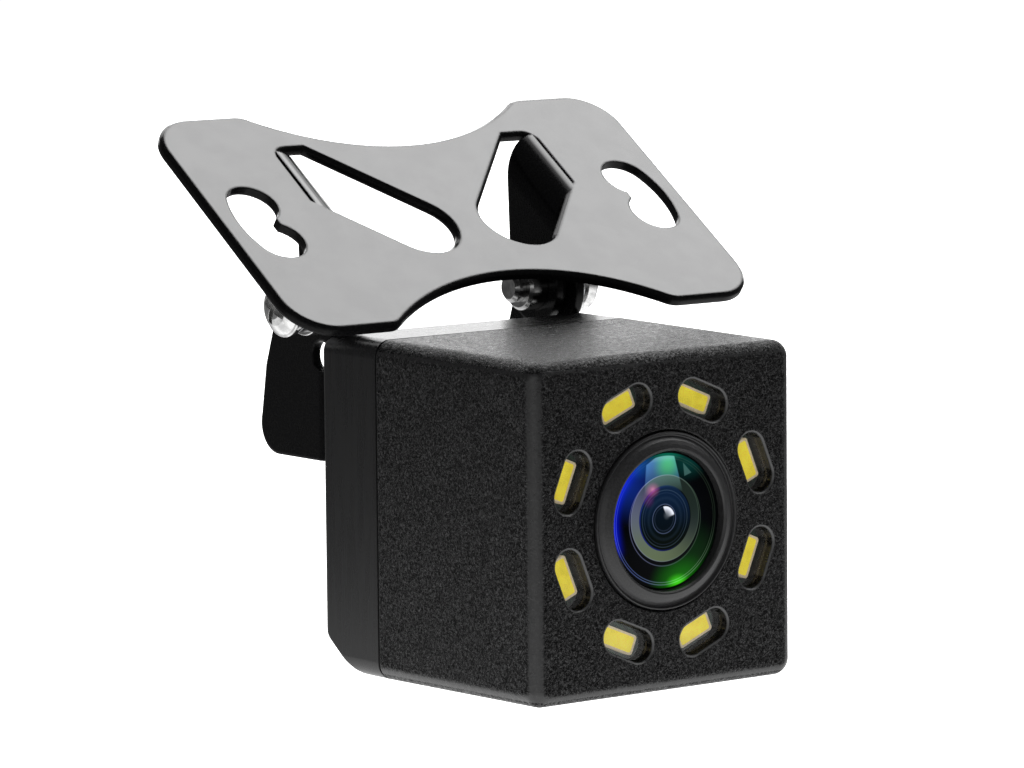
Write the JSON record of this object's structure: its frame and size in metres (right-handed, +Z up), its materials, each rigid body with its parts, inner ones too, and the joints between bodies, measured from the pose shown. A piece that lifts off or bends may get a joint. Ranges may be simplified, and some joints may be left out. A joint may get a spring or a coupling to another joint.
{
  "type": "vehicle backup camera",
  "caption": "Cube-shaped vehicle backup camera with a ring of lamps around a domed lens, held by a yoke that tilts on a butterfly-shaped mounting plate.",
  "frame": {"origin": "where the lens axis crosses the flat front face of the housing", "axes": "+X to the right seen from in front, +Y from the lens into the camera, +Z up; the lens looks along -Y"},
  "size_m": [0.0464, 0.0413, 0.0441],
  "materials": {
    "black_aluminium": "black anodised",
    "bracket_paint": "gloss black enamel on steel sheet",
    "cable_rubber": "black PVC",
    "capacitor_can": "bare aluminium can",
    "ceramic_brown": "ceramic capacitor body",
    "clear_acrylic": "clear acrylic",
    "component_black": "moulded epoxy",
    "cover_satin": "smooth satin",
    "filter_glass": "blue-green infrared filter",
    "gold": "gold plated pins",
    "holder_plastic": "glass-filled black nylon",
    "housing_textured": "fine spark-eroded texture",
    "led_ceramic": "off-white LED package",
    "lens_glass": "coated optical glass",
    "nickel": "bright nickel plate",
    "nylon_white": "natural nylon",
    "pcb": "green solder mask",
    "phosphor": "yellow phosphor in silicone",
    "seal_rubber": "silicone rubber",
    "sensor_silicon": "sensor package",
    "wire_black": "PVC insulation",
    "wire_red": "PVC insulation",
    "wire_white": "PVC insulation",
    "wire_yellow": "PVC insulation",
    "zinc": "zinc plated steel"
  },
  "bodies": {
    "bracket": {"mounting_plate": "bracket_paint", "clinch_nuts": "nickel", "pivot_screws": "nickel", "lock_washers": "zinc", "flat_washers": "nickel", "friction_washers": "holder_plastic"},
    "camera_head": {"front_shell": "housing_textured", "rear_cover": "cover_satin", "cover_seal": "seal_rubber", "cover_screws": "zinc", "led_window_pads": "clear_acrylic", "led_packages": "led_ceramic", "led_phosphors": "phosphor", "led_board": "pcb", "led_board_screws": "zinc", "led_resistors": "component_black", "led_wires": "wire_red", "lens_bezel": "black_aluminium", "front_element": "lens_glass", "lens_barrel": "black_aluminium", "lens_o_ring": "seal_rubber", "lens_spacer_front": "black_aluminium", "second_element": "lens_glass", "aperture_disc": "black_aluminium", "lens_spacer_rear": "black_aluminium", "rear_crown_element": "lens_glass", "rear_flint_element": "lens_glass", "lens_retainer": "black_aluminium", "lens_holder": "holder_plastic", "holder_screws": "zinc", "ir_filter": "filter_glass", "image_sensor": "sensor_silicon", "sensor_cover_glass": "lens_glass", "sensor_board": "pcb", "board_screws": "zinc", "video_processor": "component_black", "board_capacitors": "ceramic_brown", "header_pins": "gold", "header_block": "holder_plastic", "power_board": "pcb", "power_inductor": "component_black", "power_capacitor": "capacitor_can", "cable_socket": "nylon_white", "cable_plug": "nylon_white", "core_red": "wire_red", "core_black": "wire_black", "core_yellow": "wire_yellow", "core_white": "wire_white", "cable_boot": "seal_rubber", "cable_jacket": "cable_rubber", "yoke": "bracket_paint", "yoke_screws": "zinc"}
  },
  "joints": [
    {"name": "tilt", "type": "hinge", "parent": "bracket", "child": "camera_head", "pos_m": [0, 0.0299, 0.0155], "axis": [1, 0, 0], "range_deg": [-3, 124]}
  ]
}
